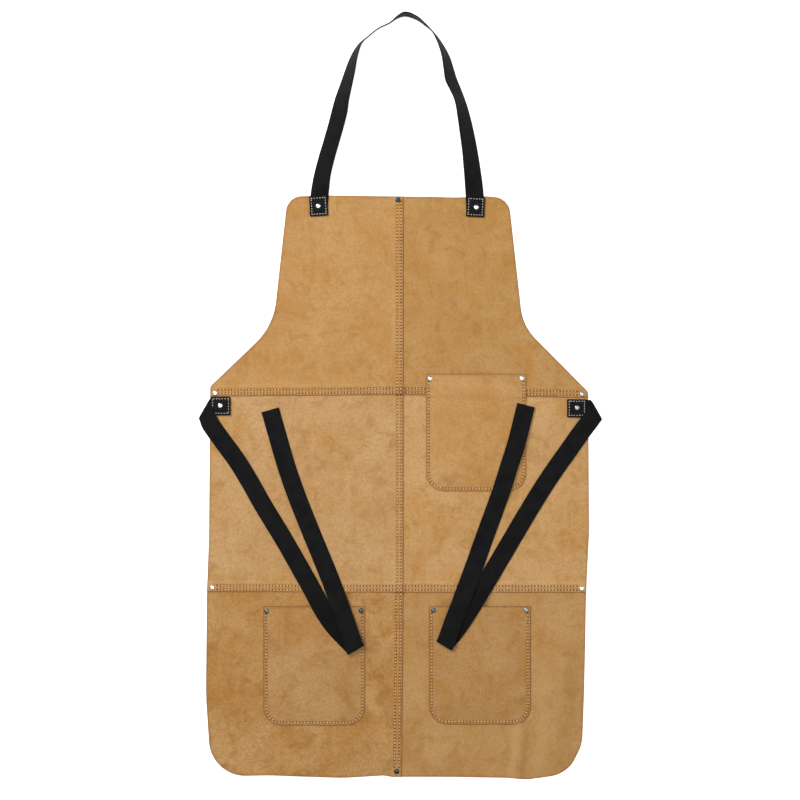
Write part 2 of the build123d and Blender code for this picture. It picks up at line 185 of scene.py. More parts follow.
def distance_to(line, points):
    """How far each point is from a line."""
    best = np.full(len(points), np.inf)
    for a, b in zip(line[:-1], line[1:]):
        along = b - a
        share = np.clip((points - a) @ along / max(along @ along, 1e-12), 0, 1)
        best = np.minimum(best, np.linalg.norm(points - a - share[:, None] * along, axis=1))
    return best


def rounded_box(left, right, low, high, radius):
    """An upright box with its two lower corners rounded, anticlockwise from the upper left."""
    points = [(left, high)]
    for centre_x, start in ((left + radius, math.pi), (right - radius, 1.5 * math.pi)):
        for angle in np.linspace(start, start + math.pi / 2, 13):
            points.append((centre_x + radius * math.cos(angle), low + radius + radius * math.sin(angle)))
    points.append((right, high))
    return np.array(points)


# -------- how the leather lies


def seam_line(tier):
    """The raw lower edge of a tier of panels, as y for a given x."""
    found = []
    for side in ("left", "right"):
        loop = outline(f"{tier}_panel_{side}")
        for a, b in zip(loop, np.roll(loop, -1, 0)):
            if b[0] - a[0] > 2 * abs(b[1] - a[1]):
                found += [tuple(a), tuple(b)]
    xs, ys = np.array(sorted(set(found))).T
    return lambda x: np.interp(x, xs, ys)


SEAM_LINES = {"bib": seam_line("bib"), "waist": seam_line("waist")}


def raw_edge(y):
    """The raw edge of the left panels over the right ones, as x for a given y."""
    return RAW_EDGE + HEM_LEAN * np.clip((WAIST_BOTTOM - y) / (WAIST_BOTTOM - HEM), 0, 1)


# Folds in the laid leather: middle, direction in degrees, length, width and height
FOLDS = (
    (0.182, -0.563, 84, 0.085, 0.0115, 0.0038),
    (0.237, -0.500, 85, 0.150, 0.0280, 0.0050),
    (-0.245, -0.545, 100, 0.080, 0.022, 0.0016),
    (-0.250, -0.180, 84, 0.110, 0.020, 0.0014),
    (0.262, -0.215, 96, 0.100, 0.018, 0.0013),
    (-0.130, 0.262, 30, 0.070, 0.022, 0.0010),
    (0.140, 0.180, 70, 0.090, 0.022, 0.0012),
    (-0.110, -0.565, 8, 0.070, 0.014, 0.0013),
    (0.090, -0.560, 172, 0.060, 0.014, 0.0012),
)
# Long waves all over it: direction, length and phase
WAVES = [(rng.uniform(0, math.pi), rng.uniform(0.07, 0.24), rng.uniform(0, 2 * math.pi)) for _ in range(16)]
WAVE_HEIGHT = 0.55 * MM
CONTACT = 0.5 * MM  # how softly the waves flatten where they meet the floor
PIN_REACH = 0.032  # the patches hold the leather down for about this far round them
PINNED = [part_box(f"{name}_patch_{side}") for name in ("neck", "tie") for side in ("left", "right")]


def relief(x, y):
    """Height of the gentle waves in the laid leather, the same for every layer."""
    rise = np.zeros(np.shape(x))
    for angle, length, phase in WAVES:
        rise = rise + np.sin(2 * math.pi * (x * math.cos(angle) + y * math.sin(angle)) / length + phase)
    rise = rise * WAVE_HEIGHT / math.sqrt(len(WAVES) / 2)
    for fold_x, fold_y, degrees, length, width, height in FOLDS:
        c, s = math.cos(math.radians(degrees)), math.sin(math.radians(degrees))
        along, across = (x - fold_x) * c + (y - fold_y) * s, (y - fold_y) * c - (x - fold_x) * s
        rise = rise + height * np.exp(-((across / width) ** 2) - (along / length) ** 4)
    rise = (rise + np.sqrt(rise**2 + CONTACT**2)) / 2
    for low, high in PINNED:
        apart = (x - (low.x + high.x) / 2) ** 2 + (y - (low.y + high.y) / 2) ** 2
        rise = rise * (1 - np.exp(-apart / (2 * PIN_REACH**2)))
    return rise


def panel_under(tier, side):
    """The underside of a panel, as a function of place."""

    def height(x, y):
        edge = raw_edge(y)
        if side == "left":
            across = 1 - smooth((edge - LAP - x) / RAMP)
        else:
            across = 1 - smooth((x - edge) / RAMP)
        over = 0
        if tier != "skirt":
            over = 1 - smooth((y - SEAM_LINES[tier](x) - LAP) / RAMP)
        layers = over * (1 + across) + (across if side == "left" else 0)
        return relief(x, y) + layers * LEATHER

    return height


# -------- making meshes


def make_object(name, vertices, faces, material, attributes=()):
    """A smooth mesh object with named values on its vertices."""
    mesh = bpy.data.meshes.new(name)
    mesh.from_pydata([tuple(v) for v in vertices], [], faces)
    mesh.polygons.foreach_set("use_smooth", [True] * len(faces))
    for key, values in attributes:
        mesh.attributes.new(key, "FLOAT", "POINT").data.foreach_set("value", np.asarray(values, np.float32))
    mesh.materials.append(material)
    mesh.update()
    piece = bpy.data.objects.new(name, mesh)
    bpy.context.scene.collection.objects.link(piece)
    return piece


ground = []  # what is already laid, for the pieces that lie on it


def lay(piece):
    """Adds a finished piece to what later pieces lie on."""
    mesh = piece.data
    ground.append(BVHTree.FromPolygons([v.co for v in mesh.vertices], [p.vertices for p in mesh.polygons]))


def height_at(x, y):
    """Height of the highest thing laid at a place."""
    best = 0.0
    for tree in ground:
        hit = tree.ray_cast(Vector((x, y, 0.1)), Vector((0, 0, -1)))[0]
        if hit is not None:
            best = max(best, hit.z)
    return best


def depth_at(x, y):
    """Height of the underside of the leather body at a place."""
    found = []
    for tree in panel_trees:
        hit = tree.ray_cast(Vector((x, y, -0.01)), Vector((0, 0, 1)))[0]
        if hit is not None:
            found.append(hit.z)
    return min(found, default=0.0)


# -------- sheets of leather


def needle_holes(path, pitch=PITCH):
    """The needle holes of a stitch row, evenly spaced along a path."""
    return spaced(np.array(path), pitch)


def hole_rings(rows):
    """Points in and round each needle hole, longer along the row than across it."""
    centres, rings = [], []
    for holes in rows:
        for centre, way in zip(holes, unit(np.gradient(holes, axis=0))):
            centres.append(centre)
            for k in range(6):
                angle = math.pi * (k + 0.5) / 3
                long, wide = 1.35 * HOLE_RADIUS * math.cos(angle), HOLE_RADIUS * math.sin(angle)
                rings.append(centre + way * long + square_to(way) * wide)
    return np.array(centres).reshape(-1, 2), np.array(rings).reshape(-1, 2)


def lattice(loop, near_lines, fine, coarse, reach=6.5 * MM):
    """Points inside an outline: close together near the lines, and further apart elsewhere."""
    low, high = loop.min(0), loop.max(0)
    rows = np.arange(round((high[1] - low[1]) / (fine * 0.866)) + 1)
    cols = np.arange(round((high[0] - low[0]) / fine) + 1)
    i, j = np.meshgrid(cols, rows)
    i, j = i.ravel(), j.ravel()
    points = np.column_stack([low[0] + (i + 0.5 * (j % 2)) * fine, low[1] + j * fine * 0.866])
    keep = (i % coarse == 0) & (j % coarse == 0)
    for line in near_lines:
        keep |= distance_to(line, points) < reach
    points = points[keep]
    points = points[inside(loop, points)]
    return points[distance_to(np.vstack([loop, loop[:1]]), points) > EDGE_CLEAR]


def cleared(points, others, gap):
    """The points that are not too close to any of the others."""
    cells = {(round(x / gap), round(y / gap)) for x, y in others}
    kept = []
    for x, y in points:
        column, row = round(x / gap), round(y / gap)
        near = {(column + a, row + b) for a in (-1, 0, 1) for b in (-1, 0, 1)}
        if not near & cells:
            kept.append((x, y))
    return np.array(kept).reshape(-1, 2)


def leather_sheet(name, loop, under, material, front_rows, back_rows, near_lines, fine=FINE, puff=None):
    """A sheet of leather over an outline: rounded cut edges, sunk stitch rows and needle holes.
    under gives its underside, and puff what its front swells by on top of its thickness."""
    edge = respaced(loop, min(EDGE_STEP, 1.4 * fine))
    ring_near, ring_far = inset(edge, EDGE_RING), inset(edge, INNER_RING)
    front_holes, front_rings = hole_rings(front_rows)
    back_holes, back_rings = hole_rings(back_rows)
    stitched = np.vstack([front_holes, front_rings, back_holes, back_rings])
    filling = lattice(edge, [*front_rows, *back_rows, *near_lines], fine, COARSE)
    filling = cleared(filling, stitched, HOLE_CLEAR)
    points = np.vstack([edge, ring_near, ring_far, stitched, filling])
    corners = [list(range(len(edge)))]
    flat, _, faces, *_ = geometry.delaunay_2d_cdt([Vector(p) for p in points], [], corners, 1, 1e-7)
    flat = np.array(flat)
    closed = np.vstack([edge, edge[:1]])
    from_edge = distance_to(closed, flat)

    def pressed(rows, holes, rings):
        """How far a face sinks at its stitch rows and needle holes, and how deep in a hole each is, which
        sets how much painted shade it gets.
        """
        sunk, hole = np.zeros(len(flat)), np.zeros(len(flat))
        for row in rows:
            sunk = np.maximum(sunk, GROOVE_DEPTH * np.exp(-((distance_to(row, flat) / GROOVE_WIDTH) ** 2)))
        # the dimple round each hole sinks a little and gets most of the painted shade, and the hole sinks
        # deepest and gets all of it
        for marks, depth, share in ((rings, 0.25 * HOLE_DEPTH, 0.70), (holes, HOLE_DEPTH, 1.0)):
            marked = {(round(x, 5), round(y, 5)) for x, y in marks}
            hit = np.array([(round(x, 5), round(y, 5)) in marked for x, y in flat])
            sunk[hit] += depth
            hole[hit] = share
        return sunk, hole

    x, y = flat.T
    bottom = under(x, y)
    top = bottom + LEATHER + (0 if puff is None else puff(x, y))
    rounding = EDGE_ROUND * np.clip(1 - from_edge / EDGE_RING, 0, 1)
    front_sunk, front_hole = pressed(front_rows, front_holes, front_rings)
    back_sunk, back_hole = pressed(back_rows, back_holes, back_rings)
    top = top - rounding - front_sunk
    bottom = bottom + rounding + back_sunk

    count = len(flat)
    once = {}  # edges of one face only, in the order in which they were met
    for face in faces:
        for a, b in zip(face, [*face[1:], face[0]]):
            if (b, a) in once:
                del once[(b, a)]
            else:
                once[(a, b)] = True
    rim = sorted({a for pair in once for a in pair})
    middle = {a: 2 * count + k for k, a in enumerate(rim)}
    vertices = np.vstack(
        [
            np.column_stack([flat, top]),
            np.column_stack([flat, bottom]),
            np.column_stack([flat[rim], (top[rim] + bottom[rim]) / 2]),
        ]
    )
    all_faces = [tuple(face) for face in faces]
    all_faces += [tuple(a + count for a in reversed(face)) for face in faces]
    for a, b in once:
        all_faces.append((b, a, middle[a], middle[b]))
        all_faces.append((middle[b], middle[a], a + count, b + count))
    # within about a millimetre of the cut edge: on the suede a browner raw edge with painted shade along
    # it, and on the black patches a paler raw edge
    cut = np.exp(-((from_edge / (1.0 * MM)) ** 2))
    row_wear = np.zeros(count)
    for row in front_rows:
        row_wear = np.maximum(row_wear, np.exp(-((distance_to(row, flat) / (2.6 * MM)) ** 2)))
    slope_for_painted_light = (relief(x + MM, y) - relief(x - MM, y)) / (2 * MM)  # painted light and shade: a slope facing the key light on the left is painted paler, and one facing right darker
    attributes = (
        ("slope_for_painted_light", np.concatenate([slope_for_painted_light, slope_for_painted_light, slope_for_painted_light[rim]])),
        ("cut", np.concatenate([cut, cut, np.ones(len(rim))])),
        ("hole", np.concatenate([front_hole, back_hole, np.zeros(len(rim))])),
        ("sewn", np.concatenate([row_wear, np.zeros(count + len(rim))])),
    )
    return make_object(name, vertices, all_faces, material, attributes)


def declare_leather(piece, node, slot, loop, **more):
    """Hides the CAD node of a sheet of leather that was cut to an outline, puts the sheet on the apron and
    lays it.
    """
    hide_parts(node)
    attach(piece, "apron")
    lay(piece)


# -------- stitches


def stitches(name, rows, material, radius, cover=0.76, lift=0.0, side=1):
    """One thread per pair of neighbouring needle holes, arched over the leather and diving into
    both holes. cover is its share of the gap between them, and side is 1 on the front and -1 on the
    underside."""
    stations = np.linspace(-1, 1, 9)
    sides = 6
    shape = []
    for t in stations:
        size = radius * (1 - 0.75 * abs(t) ** 6)
        up = 0.75 * radius - 1.9 * radius * abs(t) ** 5
        for k in range(sides):
            angle = 2 * math.pi * k / sides
            shape.append((t, 1.12 * size * math.cos(angle), up + size * math.sin(angle)))
    shape = np.array(shape)
    strips = []
    for a in range(len(stations) - 1):
        for k in range(sides):
            b = (k + 1) % sides
            strips.append((a * sides + k, a * sides + b, (a + 1) * sides + b, (a + 1) * sides + k))
    strips.append(tuple(range(sides))[::-1])
    strips.append(tuple((len(stations) - 1) * sides + k for k in range(sides)))
    vertices, faces, shades = [], [], []
    for holes in rows:
        level = height_at if side == 1 else depth_at
        heights = np.array([level(*place) for place in (holes[1:] + holes[:-1]) / 2])
        slopes = np.gradient(heights) if len(heights) > 1 else np.zeros(len(heights))
        for a, b, z, slope in zip(holes[:-1], holes[1:], heights, slopes):
            way = unit(b - a)
            half = 0.5 * np.linalg.norm(b - a) * cover * rng.uniform(0.93, 1.06)
            swing = rng.normal(0, 0.035)
            way = way + swing * square_to(way)
            beside = square_to(way)
            middle = (a + b) / 2 + beside * rng.normal(0, 0.08 * MM)
            base = len(vertices)
            for t, across, up in shape:
                place = middle + way * (t * half) + beside * across
                vertices.append((*place, z + side * (up + lift) + slope * t / 2))
            faces += [tuple(base + i for i in strip[::side]) for strip in strips]
            shades += [rng.uniform(0, 1)] * len(shape)
    return make_object(name, vertices, faces, material, (("shade", shades),))


# -------- materials


class Paint:
    """A node material with short calls for the nodes that it needs."""

    def __init__(self, name, roughness, **sockets):
        self.material = bpy.data.materials.new(name)
        self.material.use_nodes = True
        self.tree = self.material.node_tree
        self.shader = self.tree.nodes["Principled BSDF"]
        self.shader.inputs["Roughness"].default_value = roughness
        for socket, value in sockets.items():
            self.shader.inputs[socket.replace("_", " ")].default_value = value
        self.place = self.tree.nodes.new("ShaderNodeTexCoord").outputs["Object"]

    def put(self, value, socket):
        """Links a value from another node, or sets a constant."""
        if isinstance(value, bpy.types.NodeSocket):
            self.tree.links.new(value, socket)
        else:
            socket.default_value = value

    def math(self, operation, *values):
        """One arithmetic step."""
        node = self.tree.nodes.new("ShaderNodeMath")
        node.operation = operation
        for value, socket in zip(values, node.inputs):
            self.put(value, socket)
        return node.outputs[0]

    def times(self, value, factor):
        """A value multiplied by another."""
        return self.math("MULTIPLY", value, factor)

    def attribute(self, name):
        """A value stored on the mesh."""
        node = self.tree.nodes.new("ShaderNodeAttribute")
        node.attribute_name = name
        return node.outputs["Fac"]

    def stretched(self, scale, degrees=0.0, shift=(0.0, 0.0, 0.0)):
        """The object's coordinates, shifted, turned about Z and scaled."""
        node = self.tree.nodes.new("ShaderNodeMapping")
        self.put(self.place, node.inputs["Vector"])
        node.inputs["Location"].default_value = shift
        node.inputs["Rotation"].default_value = (0, 0, math.radians(degrees))
        node.inputs["Scale"].default_value = scale
        return node.outputs[0]

    def noise(self, size, detail=2.0, vector=None, roughness=0.5, distortion=0.0):
        """Cloudy noise whose features are about size metres across."""
        node = self.tree.nodes.new("ShaderNodeTexNoise")
        self.put(vector or self.place, node.inputs["Vector"])
        node.inputs["Scale"].default_value = 1 / size
        node.inputs["Detail"].default_value = detail
        node.inputs["Roughness"].default_value = roughness
        node.inputs["Distortion"].default_value = distortion
        return node.outputs["Fac"]

    def spread(self, value, low, high, to_low=0.0, to_high=1.0):
        """A value's range mapped softly on to another."""
        node = self.tree.nodes.new("ShaderNodeMapRange")
        node.interpolation_type = "SMOOTHSTEP"
        for item, socket in zip((value, low, high, to_low, to_high), node.inputs):
            self.put(item, socket)
        return node.outputs[0]

    def mix(self, share, first, second):
        """Two colours mixed."""
        node = self.tree.nodes.new("ShaderNodeMix")
        node.data_type = "RGBA"
        self.put(share, node.inputs[0])
        for colour, socket in ((first, node.inputs[6]), (second, node.inputs[7])):
            self.put((*colour, 1.0) if isinstance(colour, tuple) else colour, socket)
        return node.outputs[2]

    def colour(self, value):
        """The surface's own colour."""
        self.put(value, self.shader.inputs["Base Color"])

    def bump(self, *layers):
        """Surface relief from several heights, each given with its depth in metres."""
        total = None
        for height, depth in layers:
            scaled = self.times(height, depth)
            total = scaled if total is None else self.math("ADD", total, scaled)
        node = self.tree.nodes.new("ShaderNodeBump")
        node.inputs["Strength"].default_value = 1.0
        node.inputs["Distance"].default_value = 1.0
        self.put(total, node.inputs["Height"])
        self.put(node.outputs[0], self.shader.inputs["Normal"])


def linear(red, green, blue):
    """A colour given on the 0 to 255 screen scale, in the linear values that shaders use."""
    return tuple(((c / 255 + 0.055) / 1.055) ** 2.4 for c in (red, green, blue))


def tinted(base, *shares, power=1.0):
    """A colour with each channel multiplied by its share."""
    return tuple(c * share**power for c, share in zip(base, shares))


def suede(name, colour, contrast, seed):
    """Tan split leather: cloudy dye, brushed nap, needle holes darkened with painted shade, cut edges
    browner and darkened further with painted shade along them, and painted light and shade on the slopes of
    its folds. contrast is how far its light and dark places differ."""
    paint = Paint(name, 0.94, Specular_IOR_Level=0.18, Sheen_Weight=0.10, Sheen_Roughness=0.6)
    paint.shader.inputs["Sheen Tint"].default_value = (1.0, 0.86, 0.66, 1.0)
    shift = (0.37 * seed, 0.71 * seed, 0.13 * seed)
    base = linear(*colour)
    deep = tinted(base, 0.80, 0.72, 0.54, power=contrast)
    pale = tinted(base, 1.09, 1.15, 1.28, power=contrast)
    orange = tinted(base, 0.98, 0.86, 0.62)
    whole = paint.stretched((1, 1, 1), 0, shift)
    clouds = paint.noise(0.110, 3.0, whole, 0.5, 0.6)
    warm = paint.noise(0.060, 3.0, paint.stretched((1, 1, 1), 40, shift), 0.55, 0.8)
    patches = paint.noise(0.026, 5.0, whole, 0.62, 0.9)
    brushed = paint.noise(0.011, 5.0, paint.stretched((1.0, 0.20, 1), 8 * seed, shift), 0.7)
    wisps = paint.noise(0.009, 5.0, paint.stretched((0.22, 1.0, 1), 31 * seed, shift), 0.72, 0.8)
    nap = paint.noise(0.0036, 4.0, whole, 0.72)
    specks = paint.noise(0.0052, 3.0, paint.stretched((1, 1, 1), 25, shift), 0.65)
    # painted light and shade on the slopes of the laid leather, from how steeply it rises to the right
    slope_for_painted_light = paint.attribute("slope_for_painted_light")
    tone = paint.mix(paint.spread(clouds, 0.34, 0.72), pale, base)
    layers = (  # a value, the range over which its colour comes in, how much of that colour, and the colour: dyes, and on the slopes painted light and shade
        (warm, 0.42, 0.72, 0.80, orange),
        (patches, 0.45, 0.78, 0.78, deep),
        (brushed, 0.46, 0.76, 0.62, pale),
        (wisps, 0.50, 0.80, 0.38, deep),
        (nap, 0.38, 0.68, 0.48, deep),
        (specks, 0.52, 0.72, 0.38, pale),
        # painted light on slopes that face the key light, and painted shade on slopes that face away
        (slope_for_painted_light, 0.03, 0.24, 0.60, pale),
        (slope_for_painted_light, -0.04, -0.30, 0.60, deep),
    )
    for value, low, high, share, dye_and_painted_light in layers:
        tone = paint.mix(paint.spread(value, low, high, 0.0, share), tone, dye_and_painted_light)
    # the cut edge's own browner colour, darkened further with painted shade along the edge
    cut_brown_and_shade = tinted(base, 0.46, 0.30, 0.15)
    # painted shade in the needle holes and the dimples round them
    dark = tinted(base, 0.16, 0.08, 0.04)
    for mark, share, dye_and_painted_light in (("sewn", 0.62, orange), ("cut", 0.88, cut_brown_and_shade), ("hole", 0.95, dark)):
        tone = paint.mix(paint.times(paint.attribute(mark), share), tone, dye_and_painted_light)
    paint.colour(tone)
    fibres = paint.noise(0.0009, 2.0, whole, 0.6)
    paint.bump((fibres, 0.00012), (nap, 0.00045), (specks, 0.00040), (patches, 0.0008))
    return paint.material


def black_leather():
    """Smooth black patch leather with a fine pebble grain."""
    paint = Paint("black_patch_leather", 0.55, Specular_IOR_Level=0.14)
    pebbles = paint.tree.nodes.new("ShaderNodeTexVoronoi")
    paint.put(paint.place, pebbles.inputs["Vector"])
    pebbles.inputs["Scale"].default_value = 1 / 0.0011
    grain = paint.spread(pebbles.outputs["Distance"], 0.1, 0.75)
    clouds = paint.noise(0.006, 3.0)
    tone = paint.mix(paint.spread(clouds, 0.35, 0.75), (0.0030, 0.0028, 0.0026), (0.0072, 0.0066, 0.0060))
    tone = paint.mix(paint.times(paint.attribute("cut"), 0.6), tone, (0.012, 0.010, 0.009))
    # painted shade in the needle holes
    tone = paint.mix(paint.attribute("hole"), tone, (0.001, 0.001, 0.001))
    paint.colour(tone)
    paint.put(paint.spread(clouds, 0.3, 0.7, 0.50, 0.68), paint.shader.inputs["Roughness"])
    paint.bump((grain, -0.00010), (clouds, 0.00025))
    return paint.material


def webbing():
    """Flat black webbing: a herringbone of slanted yarns between plain selvedges."""
    paint = Paint(
        "black_strap_webbing", 0.85, Specular_IOR_Level=0.16, Sheen_Weight=0.05, Sheen_Roughness=0.5
    )
    along, across = paint.attribute("along"), paint.attribute("across")
    column = paint.math("PINGPONG", across, 0.0035)
    lengthwise = paint.times(along, 2 * math.pi / 0.0014)
    slanted = paint.math("ADD", lengthwise, paint.times(column, 3600.0))
    yarn = paint.math("ADD", paint.times(paint.math("SINE", slanted), 0.5), 0.5)
    picks = paint.math("SINE", paint.times(across, 2 * math.pi / 0.0007))
    fluff = paint.noise(0.0012, 3.0, None, 0.7)
    clouds = paint.noise(0.018, 3.0)
    tone = paint.mix(paint.spread(yarn, 0.1, 0.9), (0.0040, 0.0041, 0.0042), (0.0112, 0.0112, 0.0112))
    tone = paint.mix(paint.spread(fluff, 0.55, 0.80, 0.0, 0.5), tone, (0.0165, 0.0165, 0.0165))
    tone = paint.mix(paint.spread(clouds, 0.38, 0.66, 0.0, 0.65), tone, (0.0028, 0.0030, 0.0034))
    tone = paint.mix(paint.attribute("shaded"), tone, (0.0018, 0.0020, 0.0024))
    paint.colour(tone)
    paint.bump((yarn, 0.00016), (picks, 0.00004), (fluff, 0.00010))
    return paint.material


def thread(name, colour, dirt):
    """Twisted sewing thread, a little darker in some stitches than others."""
    paint = Paint(name, 0.7, Specular_IOR_Level=0.25, Sheen_Weight=0.1)
    twist = paint.tree.nodes.new("ShaderNodeTexWave")
    paint.put(paint.stretched((1, 1, 1), 40), twist.inputs["Vector"])
    twist.inputs["Scale"].default_value = 900.0
    twist.inputs["Distortion"].default_value = 1.5
    base = linear(*colour)
    shadow = tinted(base, dirt, dirt, dirt)
    tone = paint.mix(paint.spread(paint.attribute("shade"), 0.0, 1.0, 0.0, 0.6), base, shadow)
    tone = paint.mix(paint.times(twist.outputs["Fac"], 0.25), tone, shadow)
    paint.colour(tone)
    paint.bump((twist.outputs["Fac"], 0.00006))
    return paint.material


def bright_metal():
    """Plated rivet metal: bright where its shine is 1, and a blued steel where it is 0."""
    paint = Paint("plated_rivet_metal", 0.22, Metallic=1.0)
    wear = paint.noise(0.0016, 4.0, None, 0.6)
    bright = paint.mix(paint.spread(wear, 0.3, 0.8), (0.96, 0.97, 0.98), (0.80, 0.84, 0.87))
    blued = paint.mix(paint.spread(wear, 0.3, 0.7), (0.016, 0.028, 0.042), (0.075, 0.115, 0.145))
    paint.colour(paint.mix(paint.attribute("shine"), blued, bright))
    paint.put(paint.spread(wear, 0.3, 0.8, 0.18, 0.34), paint.shader.inputs["Roughness"])
    paint.bump((wear, 0.00003))
    return paint.material


# -------- leather panels

# Colour and contrast of each hide
LEATHERS = {
    "bib_panel_left": ((200, 152, 94), 1.15),
    "bib_panel_right": ((194, 147, 88), 1.15),
    "waist_panel_left": ((203, 158, 104), 1.4),
    "waist_panel_right": ((206, 159, 102), 1.4),
    "skirt_panel_left": ((192, 143, 83), 2.1),
    "skirt_panel_right": ((194, 148, 92), 1.1),
    "chest_pocket": ((202, 154, 96), 1.15),
    "skirt_pocket_left": ((190, 143, 88), 1.6),
    "skirt_pocket_right": ((190, 143, 88), 1.35),
}
ROWS_FROM_EDGE = {"bib": BIB_ROWS, "waist": WAIST_ROWS, "skirt": SKIRT_ROWS}
chest_low, chest_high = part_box("chest_pocket")
seam_rivets_low, seam_rivets_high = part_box("seam_rivet_caps")


def middle_rows(tier):
    """The two rows of the middle seam on one tier."""
    bib_end, waist_end = SEAM_LINES["bib"](0), SEAM_LINES["waist"](0)
    start, stop = {
        "bib": (seam_rivets_high.y - 7 * MM, bib_end),
        "waist": (bib_end - 1 * MM, waist_end),
        "skirt": (waist_end - 1 * MM, seam_rivets_low.y + 9 * MM),
    }[tier]
    ys = np.linspace(start, stop + 1.5 * MM, 12)
    return [needle_holes(np.column_stack([raw_edge(ys) - back, ys])) for back in ROWS_FROM_EDGE[tier]]


def cross_rows(tier, stretches):
    """The two rows of a cross seam on one tier, over the given stretches of x."""
    rows = []
    for up in BIB_ROWS:
        for a, b in stretches:
            xs = np.linspace(a, b, 24)
            rows.append(needle_holes(np.column_stack([xs, SEAM_LINES[tier](xs) + up])))
    return rows


left_rivet_x = seam_rivets_low.x + 12 * MM
right_rivet_x = seam_rivets_high.x - 12 * MM
beside_lap = RAW_EDGE + 3.5 * MM
CROSS = {
    ("bib", "left"): [(left_rivet_x + 2 * MM, RAW_EDGE - 1.5 * MM)],
    ("bib", "right"): [(beside_lap, chest_low.x - 1.5 * MM), (chest_high.x + 1.5 * MM, right_rivet_x)],
    ("waist", "left"): [(left_rivet_x, RAW_EDGE - 1.5 * MM)],
    ("waist", "right"): [(beside_lap, right_rivet_x)],
}
POCKET_PLACES = {  # the panel that carries most of each pocket
    "chest_pocket": ("waist", "right"),
    "skirt_pocket_left": ("skirt", "left"),
    "skirt_pocket_right": ("skirt", "right"),
}


def pocket_row(name):
    """The single row of needle holes round a pocket, from rivet to rivet."""
    low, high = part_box(name)
    left, right, bottom = low.x + POCKET_ROW, high.x - POCKET_ROW, low.y + POCKET_ROW
    return needle_holes(rounded_box(left, right, bottom, high.y - 12 * MM, POCKET_CORNER - POCKET_ROW))


pocket_rows = {name: pocket_row(name) for name in POCKET_PLACES}
tiers = ("bib", "waist", "skirt")
front_rows = {(tier, side): [] for tier in tiers for side in ("left", "right")}
for tier in tiers:
    front_rows[tier, "left"] += middle_rows(tier)
for (tier, side), stretches in CROSS.items():
    front_rows[tier, side] += cross_rows(tier, stretches)

back_rows = {key: [] for key in front_rows}
for tier in tiers:
    back_rows[tier, "right"] += middle_rows(tier)
for side in ("left", "right"):
    back_rows["waist", side] += cross_rows("bib", CROSS["bib", side])
    back_rows["skirt", side] += cross_rows("waist", CROSS["waist", side])
back_rows["skirt", "left"].append(pocket_rows["skirt_pocket_left"])
back_rows["skirt", "right"].append(pocket_rows["skirt_pocket_right"])
chest_row = pocket_rows["chest_pocket"]
lap_top = SEAM_LINES["bib"](chest_high.x) + LAP
chest_middle = (chest_low.x + chest_high.x) / 2
back_rows["waist", "right"].append(chest_row[chest_row[:, 1] < lap_top])
for beyond in (chest_row[:, 0] < chest_middle, chest_row[:, 0] > chest_middle):
    back_rows["bib", "right"].append(chest_row[beyond & (chest_row[:, 1] > lap_top)])

panels = {}
for seed, (tier, side) in enumerate(front_rows):
    name = f"{tier}_panel_{side}"
    loop = outline(name)
    ys = np.linspace(loop[:, 1].min(), loop[:, 1].max(), 40)
    laps = [np.column_stack([raw_edge(ys) - (LAP + RAMP / 2 if side == "left" else -RAMP / 2), ys])]
    if tier != "skirt":
        xs = np.linspace(loop[:, 0].min(), loop[:, 0].max(), 40)
        laps.append(np.column_stack([xs, SEAM_LINES[tier](xs) + LAP + RAMP / 2]))
    material = suede(f"{name}_suede", *LEATHERS[name], seed + 1)
    under, front, back = panel_under(tier, side), front_rows[tier, side], back_rows[tier, side]
    panel = leather_sheet(f"{name}_leather", loop, under, material, front, back, laps)
    declare_leather(panel, name, "tan_leather", loop)
    panels[tier, side] = panel

# -------- seam stitches

tan_thread = thread("tan_sewing_thread", (246, 208, 154), 0.66)
white_thread = thread("white_sewing_thread", (214, 212, 204), 0.6)
THREAD = 0.72 * MM  # radius of the tan thread
middle = [row for tier in tiers for row in middle_rows(tier)]
upper = front_rows["bib", "left"][2:] + front_rows["bib", "right"]
lower = front_rows["waist", "left"][2:] + front_rows["waist", "right"]
panel_trees = list(ground)


def sewn(name, rows, node):
    """The stitches of a seam, front and underside as one piece each."""
    front = stitches(f"{name}_front", rows, tan_thread, THREAD)
    under = stitches(f"{name}_back", rows, tan_thread, 0.6 * THREAD, 0.9, -0.35 * MM, -1)
    for piece in (front, under):
        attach(piece, "apron")
    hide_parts(node)


sewn("middle_seam_stitches", middle, "middle_seam_thread")
sewn("upper_seam_stitches", upper, "upper_seam_thread")
sewn("lower_seam_stitches", lower, "lower_seam_thread")

# -------- pockets


def pocket_under(name):
    """The underside of a pocket's front: flat on the apron at its rim, and clear of it inside."""
    low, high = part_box(name)
    row = pocket_rows[name]

    def height(x, y):
        layers = np.ones(np.shape(x))
        if name == "chest_pocket":
            seam = SEAM_LINES["bib"](x)
            layers = layers + smooth((y - seam + RAMP) / RAMP) * (1 - smooth((y - seam - LAP) / RAMP))
        points = np.column_stack([x, y])
        closed = np.vstack([[row[0][0], high.y + 1], row, [row[-1][0], high.y + 1]])
        deep = np.where(inside(closed, points), distance_to(closed, points), 0.0)
        gape = 1 + MOUTH_GAPE * np.exp(-((high.y - y) / MOUTH_DEPTH) ** 2) * smooth(deep / 0.05)
        swell = POCKET_PUFF * (1 - np.exp(-((deep / PUFF_RUN) ** 1.6))) * gape
        return relief(x, y) + layers * LEATHER + 0.06 * MM + swell

    return height


